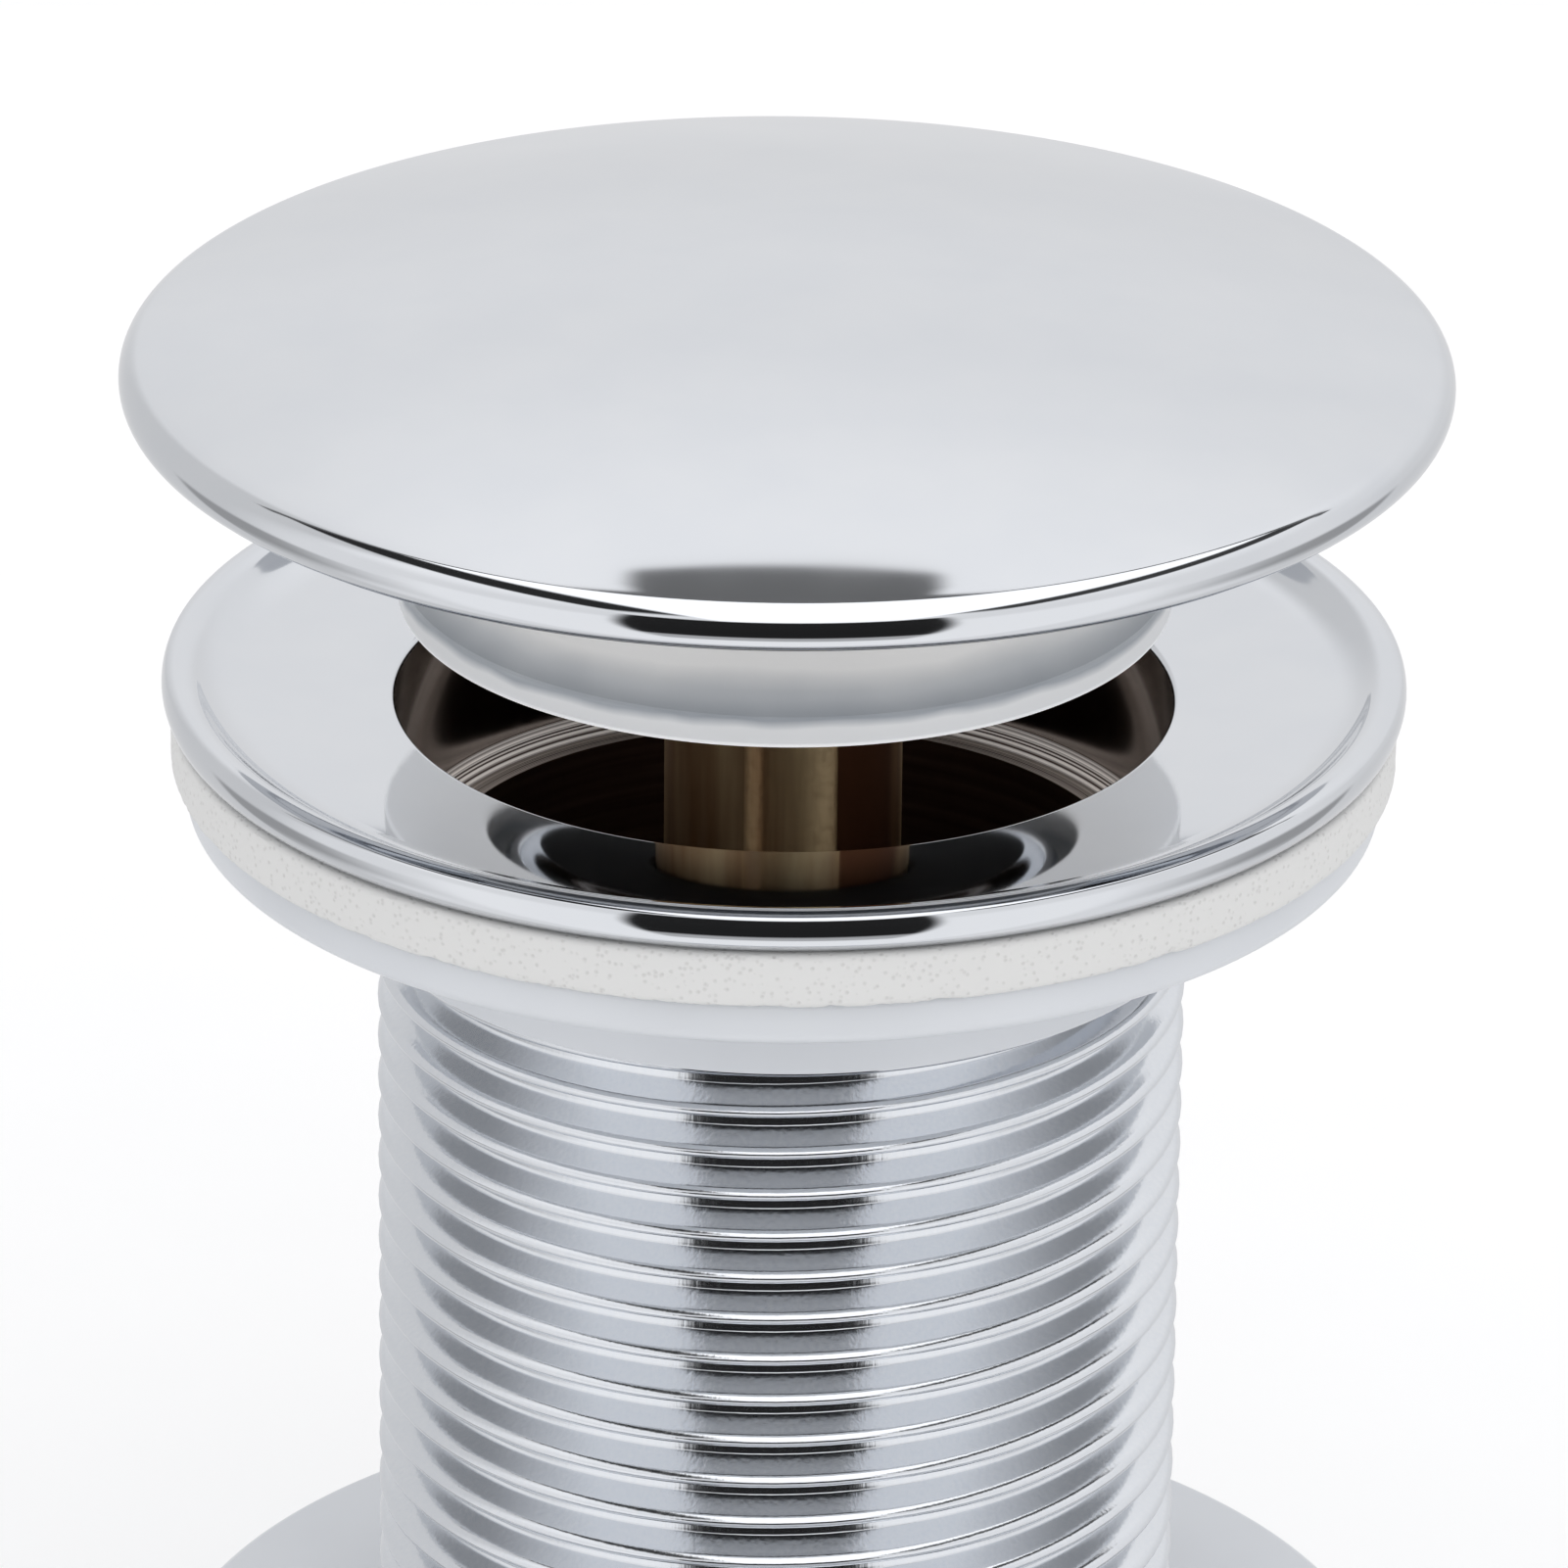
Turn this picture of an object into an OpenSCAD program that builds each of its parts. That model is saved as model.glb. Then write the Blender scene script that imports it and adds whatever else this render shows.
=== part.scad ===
// Pop up basin waste, unslotted, with a domed push cap, for a basin outlet with a G 1 1/4 trap.
// Millimetres. The axis is Z, and z = 0 is the lower end of the tail.
// It is drawn open, with the cap up, as it stands in the basin.

/* [Body] */
// Outside diameter of the threaded tube
thread_d = 41.7; // [40:0.1:44]
// Length from the flange's underside to the tail end
tube_len = 80; // [76:1:95]
// Outside diameter of the flange
flange_d = 63.6; // [58:0.2:68]
// Height of the flange's full round rim
rim_h = 2.33; // [1.8:0.01:3]
// Slope of the dished flange top, in degrees
dish_angle = 5; // [2:1:8]
// Slope of the bank from the dish up to the rim, in degrees
bank_angle = 27; // [20:1:35]
// Width of that bank
bank_w = 2.1; // [1.5:0.1:3]
// Wall between the throat and the outside of the neck
neck_wall = 0.95; // [0.8:0.05:1.4]
// Depth of the seal's ledge below the flange's underside
ledge_depth = 8.2; // [7:0.1:10]
// Width of the ledge, from the throat to the bore below it
ledge_w = 2.1; // [1.5:0.1:3]
// Step from the bore above the web to the outlet below it
outlet_step = 0.4; // [0.2:0.1:1]
// Chamfer at the seat of the ledge
ledge_chamfer = 1; // [0.5:0.1:1.5]
// Chamfer at the start of the tail thread
tail_chamfer = 1; // [0.5:0.1:1.5]
// Chamfer at the mouth of the outlet
mouth_chamfer = 0.5; // [0.2:0.1:1]
// Pitch of the thread's ribs
pitch = 2.309; // [2:0.001:2.6]
// Depth of the thread's ribs
rib_deep = 1.45; // [1:0.05:1.5]
// Flat left on the crest of a rib
rib_crest = 0.57; // [0.4:0.01:0.8]
// Length of the plain neck below the flange
neck_len = 11; // [9:0.5:14]
// Length of the tail thread that a trap's nut takes
tail_thread_len = 10; // [7:0.5:10]
// Width of the turned groove above the tail thread
groove_w = 0.8; // [0.5:0.1:1.2]
// Depth of that groove
groove_deep = 0.6; // [0.3:0.1:1]

/* [Web] */
// Number of spokes that carry the hub
spokes = 3; // [3:1:4]
// Thickness of a spoke
spoke_w = 4.5; // [3:0.1:6]
// Height of a spoke
spoke_h = 7; // [5:0.5:9]
// Wall of the hub around the stud's hole
hub_wall = 3.5; // [2.5:0.5:5]
// Height of the hub
hub_h = 9; // [7:0.5:11]

/* [Upper washers] */
// Outside diameter of the foam washer
foam_d = 62.7; // [56:0.1:66]
// Thickness of the foam washer
foam_t = 2.85; // [2:0.05:4]
// Outside diameter of the clear washer
clear_d = 61.2; // [56:0.1:66]
// Thickness of the clear washer
clear_t = 2.5; // [1.5:0.1:3.5]
// Wall of the clear washer's collar, which centres it in the basin's hole
collar_wall = 0.6; // [0.5:0.05:1.2]
// Length of that collar below the washer
collar_len = 5.6; // [3:0.1:6]
// Play between a washer's hole and the tube
washer_play = 0.25; // [0.15:0.05:0.5]
// Edge radius of the washers
washer_edge = 0.6; // [0.3:0.1:0.8]

/* [Clamp] */
// Free height between the clear washer and the lower washer
clamp_gap = 51.15; // [44:0.05:52]
// Outside diameter of the lower washer
lower_d = 65; // [58:0.5:66]
// Thickness of the lower washer
lower_t = 2.5; // [1.5:0.1:3]
// Wall of the backnut from its thread to a flat
nut_wall = 4.1; // [3.1:0.1:5.1]
// Height of the backnut
nut_h = 10; // [8:0.5:11]
// Height of the backnut's flange
nut_flange_h = 2.5; // [2:0.1:4]
// Reach of the nut's flange past its corners
nut_flange_reach = 0.6; // [0.3:0.1:1.5]
// Chamfer at the ends of the nut's thread
nut_chamfer = 0.8; // [0.4:0.1:1.2]

/* [Cap] */
// Outside diameter of the cap
cap_d = 67.6; // [62:0.2:72]
// Height of the cap's round rim
cap_rim_h = 2.6; // [2:0.1:3.4]
// Rise of the dome above the middle of the rim
cap_rise = 5.35; // [4.5:0.05:8]
// Wall of the dome
cap_wall = 1.8; // [1.4:0.1:2.2]
// Width of the rim's underside
cap_rim_w = 3.4; // [3:0.1:5]
// Wall of the boss around its tapped hole
boss_wall = 3.5; // [2.5:0.5:5]
// How far the boss hangs below the rim
boss_drop = 2.4; // [2:0.1:3]
// Metal left over the boss's tapped hole
crown_t = 2.2; // [1.8:0.1:3]
// Travel of the cap from open to fully pressed
stroke = 14; // [10:0.5:14]
// Gap left over the flange's rim when the cap is pressed
closed_gap = 0.55; // [0.3:0.05:2]

/* [Seal] */
// Outside diameter of the seal's waist
waist_d = 36; // [34:0.2:36.5]
// Wall of the bell
seal_wall = 1.6; // [1.2:0.1:2.2]
// Thickness of the bell's top
seal_top_t = 2; // [1.5:0.1:2.5]
// Height of the lip's edge
lip_h = 1.6; // [1.2:0.1:2]
// Radius of the flare from the waist to the lip
flare_r = 3; // [2.4:0.1:3.2]
// Radius of the bell's shoulder
shoulder_r = 1.5; // [1:0.1:1.5]
// Play of the lip in the throat
lip_play = 0.15; // [0.1:0.05:0.3]
// Play of the lip over the ledge when the cap is pressed
lip_lift = 0.2; // [0.1:0.05:0.4]
// Diameter of the plate that clamps the seal
plate_d = 30; // [24:0.5:32]
// Thickness of that plate
plate_t = 1.5; // [1:0.1:2]

/* [Cartridge] */
// Outside diameter of the brass barrel
barrel_d = 12.2; // [11:0.1:14]
// Length of the brass barrel
barrel_len = 35.6; // [34:0.1:37]
// Wall of the barrel around its bore
barrel_wall = 1.1; // [1:0.05:1.4]
// Step from the bore out to the pocket at the barrel's lower end
pocket_step = 0.35; // [0.25:0.05:0.4]
// Thickness of the barrel's closed end
barrel_end_t = 2.5; // [2:0.1:3.5]
// Clear depth in the cap's tapped hole past the barrel's stub
stub_clear = 0.5; // [0.3:0.1:1]
// Room between the pocket and the stud, for the index ring and the bush
ring_room = 1.4; // [1.2:0.05:1.8]
// Chamfer at the ends of the stud, the stub and the barrel
stud_edge = 0.4; // [0.2:0.1:0.6]
// Thickness of the index ring
ring_t = 2.95; // [2.4:0.05:3.5]
// Thickness of the guide bush
bush_t = 2.1; // [1.5:0.1:3]
// Width of the snap ring's groove
clip_t = 0.7; // [0.5:0.1:1]
// Depth of the snap ring's groove
clip_deep = 0.3; // [0.2:0.05:0.4]
// The barrel's edge below that groove
clip_edge = 0.7; // [0.5:0.1:1]
// Width of the snap ring
clip_w = 0.8; // [0.6:0.1:1]
// Angle of the snap ring's gap, in degrees
clip_open = 50; // [30:5:80]
// Height of the stud's head
head_h = 5; // [3:0.5:5]
// Height of the spigot that centres the spring
spigot_h = 5; // [3:0.5:6]
// Gap between the spigot and the coils
spigot_play = 1.05; // [0.8:0.05:1.5]
// Diameter of the index pin
pin_d = 1.2; // [1:0.1:1.4]
// Depth of the track that the pin runs in
track_deep = 0.8; // [0.6:0.1:1.2]
// Turn of the index ring over the whole stroke, in degrees
index_angle = 45; // [30:5:60]
// Wall of the stud's lock nut from its thread to a flat
locknut_wall = 2.5; // [2:0.1:3]
// Height of the stud's lock nut
locknut_h = 4; // [3:0.5:5]
// Space left over the lock nut when the cap is pressed
press_gap = 0.4; // [0.3:0.1:1]

/* [Spring] */
// Wire diameter
wire_d = 0.9; // [0.7:0.05:1]
// Gap between the coils and the barrel's bore
coil_play = 0.65; // [0.4:0.05:0.9]
// Gap between the wires of a closed turn
coil_gap = 0.045; // [0.03:0.005:0.1]
// Number of turns, with one closed turn at each end
turns = 7; // [6:1:7]

/* [Fits] */
// Radial play of a running fit, and of a screw in its thread
run_play = 0.05; // [0.03:0.01:0.1]
// End play between neighbouring pieces of the cartridge
end_play = 0.05; // [0.03:0.01:0.1]
// Play of the stud's head in the bore
head_play = 0.1; // [0.06:0.02:0.2]
// Play of the index pin in its track
track_play = 0.2; // [0.15:0.05:0.3]
// Play of the index pin in its ring
pin_slip = 0.02; // [0.01:0.01:0.05]

/* [Hidden] */
$fn = 96;

// Radii of the tube, from the outside in
tube_r = thread_d / 2;
throat_r = tube_r - neck_wall;
bore_r = throat_r - ledge_w;
outlet_r = bore_r + outlet_step;

// Heights of the flange and the ledge
seat_z = tube_len;
rim_r = rim_h / 2;
rim_c = [flange_d / 2 - rim_r, seat_z + rim_r];
rim_top_z = seat_z + rim_h;
ledge_z = seat_z - ledge_depth;
bank_top = rim_c + rim_r * [-sin(bank_angle), cos(bank_angle)];
bank_foot = bank_top - bank_w * [1, tan(bank_angle)];
mouth_z = bank_foot[1] - (bank_foot[0] - throat_r) * tan(dish_angle);

// Ribs of the thread, counted from the neck down to the groove above the tail
neck_z = seat_z - neck_len;
ribs_end_z = tail_thread_len + groove_w;
ribs = floor((neck_z - ribs_end_z) / pitch);

// Washers and backnut, from the flange down
washer_r = tube_r + washer_play;
clear_top_z = seat_z - foam_t;
clear_bottom_z = clear_top_z - clear_t;
collar_r = washer_r + collar_wall;
collar_z = clear_bottom_z - collar_len;
lower_top_z = clear_bottom_z - clamp_gap;
nut_top_z = lower_top_z - lower_t;
nut_bottom_z = nut_top_z - nut_h;
nut_thread_r = tube_r + run_play;
nut_flat_r = nut_thread_r + nut_wall;
nut_corner_r = nut_flat_r / cos(30);

// Barrel, stud and spring, from the outside in
barrel_r = barrel_d / 2;
barrel_bore_r = barrel_r - barrel_wall;
pocket_r = barrel_bore_r + pocket_step;
clip_r = pocket_r + clip_deep;
head_r = barrel_bore_r - head_play;
stub_r = pocket_r - ring_room;
screw_r = stub_r + run_play;
wire_r = wire_d / 2;
coil_r = barrel_bore_r - coil_play - wire_r;
spigot_r = coil_r - wire_r - spigot_play;

// Cap: the dome is a sphere that runs smoothly into the round rim
cap_rim_r = cap_rim_h / 2;
cap_bottom_z = rim_top_z + closed_gap + stroke;
cap_rim_c = [cap_d / 2 - cap_rim_r, cap_bottom_z + cap_rim_r];
crown_z = cap_rim_c[1] + cap_rise;
dome_r = (pow(cap_rim_c[0], 2) + pow(cap_rise, 2) - pow(cap_rim_r, 2)) / (2 * (cap_rise - cap_rim_r));
dome_c = [0, crown_z - dome_r];
dome_angle = asin(cap_rim_c[0] / (dome_r - cap_rim_r));
hollow_r = dome_r - cap_wall;
hollow_edge = cap_d / 2 - cap_rim_w;
boss_r = screw_r + boss_wall;
boss_z = cap_bottom_z - boss_drop;
tapped_z = crown_z - crown_t;

// Seal, plate and barrel, stacked under the boss
lip_r = throat_r - lip_play;
lip_z = ledge_z + lip_lift + stroke;
waist_r = waist_d / 2;
flare_c = [waist_r + flare_r, lip_z + lip_h + flare_r * sin(acos((waist_r + flare_r - lip_r) / flare_r))];
flare_end = 180 + acos((waist_r + flare_r - lip_r) / flare_r);
seal_under_z = boss_z - seal_top_t;
barrel_top_z = seal_under_z - plate_t;
barrel_z = barrel_top_z - barrel_len;
ceiling_z = barrel_top_z - barrel_end_t;
stub_top_z = tapped_z - stub_clear;

// Cartridge, from the barrel's open end up
clip_z = barrel_z + clip_edge;
bush_z = clip_z + clip_t + end_play;
ring_z = bush_z + bush_t + end_play;
head_z = ring_z + ring_t + end_play;
head_top_z = head_z + head_h;
pin_z = ring_z + ring_t / 2;
pin_tip_r = stub_r - track_deep + track_play;

// Stud, lock nut and web, from the pressed barrel down
locknut_top_z = barrel_z - stroke - press_gap;
hub_top_z = locknut_top_z - locknut_h;
hub_z = hub_top_z - hub_h;
spoke_z = hub_top_z - (hub_h + spoke_h) / 2;
stud_z = hub_z - stud_edge;

// Track of the index pin: an even helix over the stroke, with a round end's room past it
track_end = pin_d / 2 + track_play;
track_w = pin_d + 2 * track_play;
track_len = stroke + 2 * track_end;
index_rate = index_angle / stroke;

// Spring between the stud's head and the barrel's closed end
spring_z = head_top_z + wire_r + end_play;
spring_len = ceiling_z - head_top_z - wire_d - 2 * end_play;
end_pitch = wire_d + coil_gap;
active_pitch = (spring_len - 2 * end_pitch) / (turns - 2);
turn_steps = 16;
wire_sides = 6;

// Points of an arc about c, from angle a to angle b
function arc(c, r, a, b, n = 12) = [for (i = [0:n]) c + r * [cos(a + (b - a) * i / n), sin(a + (b - a) * i / n)]];

// A turned piece: a half outline of [radius, height] points, spun about the axis
module turned(outline) {
    rotate_extrude() polygon(outline);
}

// A plain round hole along the axis
module drilled(r, z0, z1) {
    translate([0, 0, z0]) cylinder(r = r, h = z1 - z0);
}

// A hexagon bar along the axis
module hex_bar(flat_r, z0, z1) {
    translate([0, 0, z0]) cylinder(r = flat_r / cos(30), h = z1 - z0, $fn = 6);
}

// A flat ring washer, with its outer edges rounded
module washer(r_in, r_out, z0, z1) {
    turned(concat(
        [[r_in, z0]],
        arc([r_out - washer_edge, z0 + washer_edge], washer_edge, -90, 0, 6),
        arc([r_out - washer_edge, z1 - washer_edge], washer_edge, 0, 90, 6),
        [[r_in, z1]]));
}

// Flange, throat, ledge, tube and outlet, turned as one piece
module tube() {
    groove_z = tail_thread_len;
    valley_w = pitch - rib_crest;
    rib_valley = [[0, 0], [rib_deep, valley_w / 2], [0, valley_w]];
    turned(concat(
        [[throat_r, ledge_z], [throat_r, mouth_z], bank_foot],
        arc(rim_c, rim_r, 90 + bank_angle, -90, 16),
        [[tube_r, seat_z]],
        [for (i = [0:ribs - 1], p = rib_valley) [tube_r - p[0], neck_z - i * pitch - p[1]]],
        [[tube_r, ribs_end_z],
         [tube_r - groove_deep, ribs_end_z],
         [tube_r - groove_deep, groove_z],
         [tube_r, groove_z],
         [tube_r, tail_chamfer],
         [tube_r - tail_chamfer, 0],
         [outlet_r + mouth_chamfer, 0],
         [outlet_r, mouth_chamfer],
         [outlet_r, stud_z - outlet_step],
         [bore_r, stud_z],
         [bore_r, ledge_z - ledge_chamfer],
         [throat_r - ledge_chamfer, ledge_z - ledge_chamfer]]));
}

// Hub and spokes, cast with the tube, that carry the stud
module web() {
    drilled(screw_r + hub_wall, hub_z, hub_top_z);
    for (i = [0:spokes - 1])
        rotate(90 + i * 360 / spokes)
            translate([0, -spoke_w / 2, spoke_z])
                cube([bore_r + neck_wall, spoke_w, spoke_h]);
}

module body() {
    color("silver") difference() {
        union() {
            tube();
            web();
        }
        drilled(screw_r, hub_z - 1, hub_top_z + 1);
    }
}

module foam_washer() {
    color("whitesmoke") washer(washer_r, foam_d / 2, clear_top_z, seat_z);
}

// Clear washer, with a thin collar round the neck
module clear_washer() {
    edge_r = clear_d / 2 - washer_edge;
    color("lightcyan", 0.6) turned(concat(
        [[washer_r, collar_z], [collar_r, collar_z], [collar_r, clear_bottom_z]],
        arc([edge_r, clear_bottom_z + washer_edge], washer_edge, -90, 0, 6),
        arc([edge_r, clear_top_z - washer_edge], washer_edge, 0, 90, 6),
        [[washer_r, clear_top_z]]));
}

module lower_washer() {
    color("lightcyan", 0.6) washer(washer_r, lower_d / 2, nut_top_z, lower_top_z);
}

// Hexagon nut under a round flange, with its lower corners turned off at 30 degrees
module backnut() {
    corner_drop = (nut_corner_r - nut_flat_r) * tan(30);
    flange_z = nut_top_z - nut_flange_h;
    color("silver") difference() {
        union() {
            intersection() {
                hex_bar(nut_flat_r, nut_bottom_z, flange_z);
                turned([[0, nut_bottom_z], [nut_flat_r, nut_bottom_z],
                        [nut_corner_r, nut_bottom_z + corner_drop], [nut_corner_r, flange_z], [0, flange_z]]);
            }
            washer(0, nut_corner_r + nut_flange_reach, flange_z, nut_top_z);
        }
        turned([[0, nut_bottom_z - 1],
                [nut_thread_r + nut_chamfer + 1, nut_bottom_z - 1],
                [nut_thread_r, nut_bottom_z + nut_chamfer],
                [nut_thread_r, nut_top_z - nut_chamfer],
                [nut_thread_r + nut_chamfer + 1, nut_top_z + 1],
                [0, nut_top_z + 1]]);
    }
}

// Domed cap: thin spherical shell, full round rim, and a boss tapped for the barrel's stub
module cap() {
    hollow_angle = acos(hollow_edge / hollow_r);
    boss_angle = acos(boss_r / hollow_r);
    color("silver") turned(concat(
        arc(dome_c, dome_r, 90, 90 - dome_angle, 24),
        arc(cap_rim_c, cap_rim_r, 90 - dome_angle, -90, 16),
        [[hollow_edge, cap_bottom_z]],
        arc(dome_c, hollow_r, hollow_angle, boss_angle, 20),
        [[boss_r, boss_z],
         [screw_r, boss_z],
         [screw_r, tapped_z],
         [0, tapped_z]]));
}

// Bell of clear silicone: a flat top, a straight waist, and a lip flared to the throat
module cap_seal() {
    inner_r = waist_r - seal_wall;
    color("gainsboro", 0.7) turned(concat(
        [[screw_r, seal_under_z],
         [inner_r, seal_under_z],
         [inner_r, lip_z + lip_h],
         [lip_r - seal_wall, lip_z],
         [lip_r, lip_z]],
        arc(flare_c, flare_r, flare_end, 180, 10),
        arc([waist_r - shoulder_r, boss_z - shoulder_r], shoulder_r, 0, 90, 6),
        [[screw_r, boss_z]]));
}

module seal_plate() {
    color("silver") turned([[screw_r, barrel_top_z], [plate_d / 2, barrel_top_z],
                          [plate_d / 2, seal_under_z], [screw_r, seal_under_z]]);
}

// Brass barrel: closed top with a threaded stub, plain bore, and a pocket for the index ring
module barrel() {
    color("darkgoldenrod") turned([
        [0, ceiling_z],
        [barrel_bore_r, ceiling_z],
        [barrel_bore_r, head_z],
        [pocket_r, head_z],
        [pocket_r, clip_z + clip_t],
        [clip_r, clip_z + clip_t],
        [clip_r, clip_z],
        [pocket_r, clip_z],
        [pocket_r, barrel_z],
        [barrel_r - clip_deep, barrel_z],
        [barrel_r, barrel_z + clip_deep],
        [barrel_r, barrel_top_z - stud_edge],
        [barrel_r - stud_edge, barrel_top_z],
        [stub_r, barrel_top_z],
        [stub_r, stub_top_z - stud_edge],
        [stub_r - stud_edge, stub_top_z],
        [0, stub_top_z]]);
}

// Guide bush at the barrel's open end
module barrel_bush() {
    color("ivory") turned([[screw_r, bush_z], [pocket_r - run_play, bush_z],
                           [pocket_r - run_play, bush_z + bush_t], [screw_r, bush_z + bush_t]]);
}

// Open snap ring in its groove, below the bush
module snap_ring() {
    color("dimgray") rotate(clip_open / 2)
        rotate_extrude(angle = 360 - clip_open)
            translate([clip_r - run_play - clip_w, clip_z + end_play / 2])
                square([clip_w, clip_t - end_play]);
}

// Ring that turns with the track as the barrel goes down
module index_ring() {
    color("ivory") difference() {
        turned([[screw_r, ring_z], [pocket_r - run_play, ring_z],
                [pocket_r - run_play, ring_z + ring_t], [screw_r, ring_z + ring_t]]);
        translate([0, 0, pin_z]) rotate([0, 90, 0]) cylinder(d = pin_d, h = 2 * pocket_r);
    }
}

// Steel pin in the index ring, whose tip runs in the stud's track
module index_pin() {
    color("lightgray") translate([pin_tip_r, 0, pin_z]) rotate([0, 90, 0])
        cylinder(r = pin_d / 2 - pin_slip, h = pocket_r - 2 * run_play - pin_tip_r);
}

// Stud: screwed through the hub, with the index track along it, a stop head and a spring spigot
module centre_stud() {
    spigot_z = head_top_z + spigot_h;
    color("goldenrod") difference() {
        turned([[0, stud_z], [stub_r - stud_edge, stud_z], [stub_r, stud_z + stud_edge],
                [stub_r, head_z], [head_r, head_z], [head_r, head_top_z],
                [spigot_r, head_top_z], [spigot_r, spigot_z - stud_edge],
                [spigot_r - stud_edge, spigot_z], [0, spigot_z]]);
        translate([0, 0, pin_z - stroke - track_end])
            rotate((stroke + track_end) * index_rate)
                linear_extrude(height = track_len, twist = track_len * index_rate, slices = 24, segments = 4)
                    translate([stub_r - track_deep, -track_w / 2])
                        square([track_deep + 1, track_w]);
    }
}

module stud_locknut() {
    color("goldenrod") difference() {
        hex_bar(screw_r + locknut_wall, hub_top_z, locknut_top_z);
        drilled(screw_r, hub_top_z - 1, locknut_top_z + 1);
    }
}

// Height of the spring's wire after t turns: one closed turn at each end, an even pitch between
function coil_z(t) = spring_z + end_pitch * min(t, 1) + active_pitch * max(0, min(t - 1, turns - 2))
    + end_pitch * max(0, t - turns + 1);
function coil_point(i, j) =
    let (a = 360 * i / turn_steps, b = 360 * j / wire_sides, r = coil_r + wire_r * cos(b))
    [r * cos(a), r * sin(a), coil_z(i / turn_steps) + wire_r * sin(b)];

module spring() {
    n = wire_sides;
    last = turns * turn_steps;
    points = [for (i = [0:last], j = [0:n - 1]) coil_point(i, j)];
    sides = [for (i = [0:last - 1], j = [0:n - 1])
        [i * n + j, i * n + (j + 1) % n, (i + 1) * n + (j + 1) % n, (i + 1) * n + j]];
    ends = [[for (j = [n - 1:-1:0]) j], [for (j = [0:n - 1]) last * n + j]];
    color("lightgray") polyhedron(points, concat(sides, ends), convexity = 8);
}

body();
foam_washer();
clear_washer();
centre_stud();
stud_locknut();
spring();
cap();
cap_seal();
seal_plate();
barrel();
barrel_bush();
snap_ring();
index_ring();
index_pin();
lower_washer();
backnut();
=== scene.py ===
import math

import bmesh
import bpy
from mathutils import Matrix, Vector, noise


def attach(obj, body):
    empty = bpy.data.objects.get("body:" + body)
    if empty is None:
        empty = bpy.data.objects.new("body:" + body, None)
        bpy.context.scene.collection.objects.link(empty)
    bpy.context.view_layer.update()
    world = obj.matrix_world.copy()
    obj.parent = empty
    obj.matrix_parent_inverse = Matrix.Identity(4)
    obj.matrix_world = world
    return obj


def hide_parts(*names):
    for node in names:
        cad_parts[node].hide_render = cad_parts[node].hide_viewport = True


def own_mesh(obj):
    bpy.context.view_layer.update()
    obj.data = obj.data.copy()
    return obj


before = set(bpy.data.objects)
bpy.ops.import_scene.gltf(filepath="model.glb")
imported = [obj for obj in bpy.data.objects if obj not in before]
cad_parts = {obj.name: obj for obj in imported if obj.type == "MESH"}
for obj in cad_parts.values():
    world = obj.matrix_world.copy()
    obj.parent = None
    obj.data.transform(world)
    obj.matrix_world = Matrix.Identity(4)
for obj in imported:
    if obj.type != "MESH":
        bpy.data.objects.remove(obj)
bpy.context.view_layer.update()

# Body: flange, throat, ledge and tube in one brass casting, turned, polished and chromed.
# A right hand thread, 11 to the inch, is cut along the tube, and a web of three spokes carries the cartridge.
# Inside, below the seal's ledge, the plating is thin and the brass has gone dark.
MM = 0.001
WELD = 0.002 * MM
CREASE = math.radians(32)
TUBE_R = 20.85
TUBE_CORE_R = 19.25
NECK_BOTTOM = 68.5
FLANGE_BOTTOM = 80.0
THROAT_R = 19.9
THROAT_TOP = 80.252
LEDGE_Z = 70.8
LEDGE_CHAMFER_Z = 71.8
WEB_BORE_R = 17.8
BORE_R = 18.2
TAIL_BORE_R = 18.7
CHROMED, TARNISHED, BRIGHT_SEAT, THIN_PLATED, CUT_THREAD = range(5)


def srgb(code):
    """A colour written as sRGB hex, as the linear values that a shader takes."""
    parts = [int(code[i:i + 2], 16) / 255 for i in (1, 3, 5)]
    return tuple(c / 12.92 if c <= 0.04045 else ((c + 0.055) / 1.055) ** 2.4 for c in parts) + (1.0,)


def add(tree, kind, values=(), links=(), **settings):
    """Adds a shader node with its settings, its socket values and the sockets that feed it."""
    made = tree.nodes.new(kind)
    for key, value in settings.items():
        setattr(made, key, value)
    for key, value in dict(values).items():
        made.inputs[key].default_value = value
    for key, socket in dict(links).items():
        tree.links.new(socket, made.inputs[key])
    return made


def material(name, **values):
    """A new material, with the constants of its shader set on the shader's own sockets."""
    made = bpy.data.materials.new(name)
    made.use_nodes = True
    shader = made.node_tree.nodes["Principled BSDF"]
    for key, value in values.items():
        shader.inputs[key.replace("_", " ")].default_value = value
    return made, made.node_tree, shader


def arc(centre, radius, start, end, steps):
    """Points of an arc, for an outline of (radius, height) points in millimetres."""
    angles = [math.radians(start + (end - start) * i / steps) for i in range(steps + 1)]
    return [(centre[0] + radius * math.cos(a), centre[1] + radius * math.sin(a)) for a in angles]


def turned(bm, outline, steps=192, closed=True, material_index=CHROMED):
    """Spins an outline of (radius, height) points in millimetres about the axis."""
    before = len(bm.faces)
    verts = [bm.verts.new((r * MM, 0, z * MM)) for r, z in outline]
    pairs = list(zip(verts, verts[1:]))
    if closed:
        pairs.append((verts[-1], verts[0]))
    edges = [bm.edges.new(pair) for pair in pairs]
    bmesh.ops.spin(bm, geom=verts + edges, cent=(0, 0, 0), axis=(0, 0, 1), angle=math.tau,
                   steps=steps, use_merge=True)
    bm.faces.ensure_lookup_table()
    for face in bm.faces[before:]:
        face.material_index = material_index


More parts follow.
